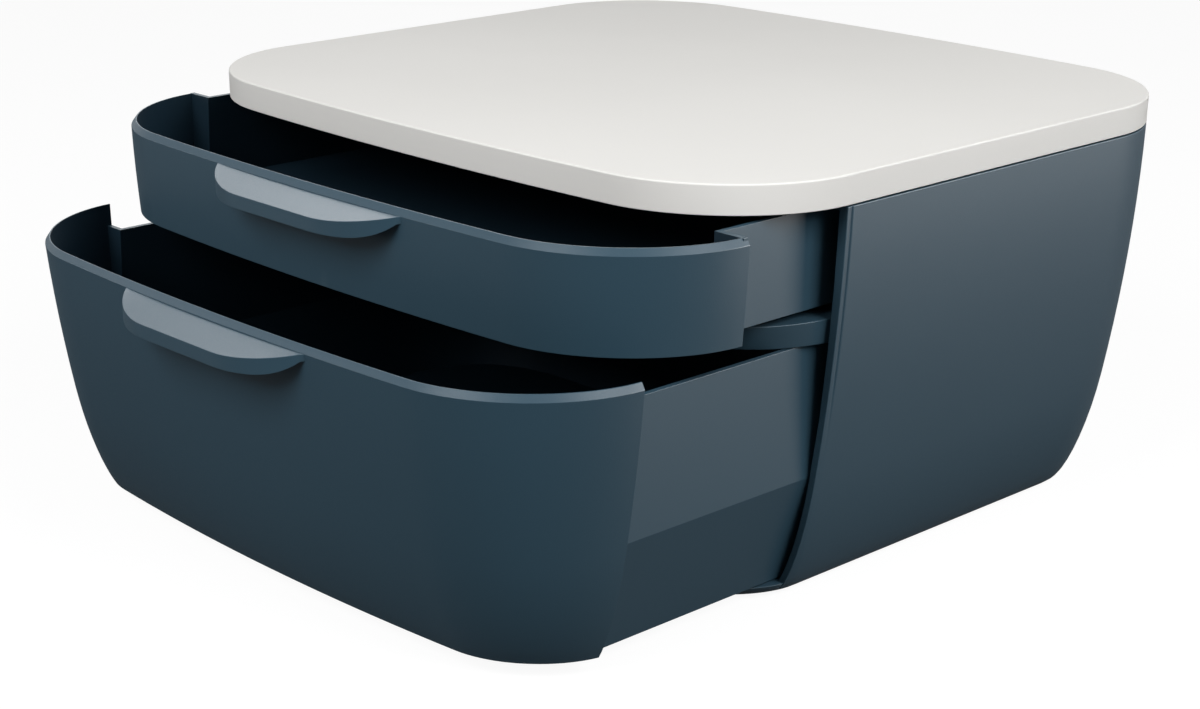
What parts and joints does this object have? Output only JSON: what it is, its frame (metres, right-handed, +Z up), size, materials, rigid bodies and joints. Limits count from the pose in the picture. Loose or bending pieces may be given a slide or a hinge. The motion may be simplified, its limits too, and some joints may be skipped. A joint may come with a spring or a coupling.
{
  "type": "file box with drawers",
  "caption": "Low desktop file box: rounded tapering casing with a pale top plate, and drawers with ledge handles that slide out of its front.",
  "frame": {"origin": "on the table plane under the feet, below the middle of the casing", "axes": "+X is the object's right as seen from the front, the drawers open towards -Y, +Z is up"},
  "size_m": [0.367, 0.4493, 0.1855],
  "materials": {
    "casing_plastic": "satin moulded plastic, dark blue grey",
    "drawer_plastic": "satin moulded plastic, dark blue grey",
    "shelf_plastic": "satin moulded plastic, dark blue grey",
    "frame_plastic": "matte moulded plastic, darker grey",
    "top_plastic": "satin moulded plastic, off white",
    "stop_plastic": "plain dark plastic",
    "screw_steel": "plain steel",
    "foot_rubber": "matte rubber"
  },
  "bodies": {
    "casing_body": {"casing": "casing_plastic", "top_plate": "top_plastic", "top_frame": "frame_plastic", "top_screws": "screw_steel", "middle_shelf": "shelf_plastic", "shelf_screws": "screw_steel", "upper_stop_left": "stop_plastic", "upper_stop_right": "stop_plastic", "lower_stop_left": "stop_plastic", "lower_stop_right": "stop_plastic", "foot_front_left": "foot_rubber", "foot_front_right": "foot_rubber", "foot_rear_left": "foot_rubber", "foot_rear_right": "foot_rubber"},
    "upper_drawer_body": {"upper_drawer": "drawer_plastic"},
    "lower_drawer_body": {"lower_drawer": "drawer_plastic"}
  },
  "joints": [
    {"name": "upper_drawer_slide", "type": "slide", "parent": "casing_body", "child": "upper_drawer_body", "axis": [0, -1, 0], "range_m": [-0.0552, 0.1548]},
    {"name": "lower_drawer_slide", "type": "slide", "parent": "casing_body", "child": "lower_drawer_body", "axis": [0, -1, 0], "range_m": [-0.1066, 0.1034]}
  ]
}
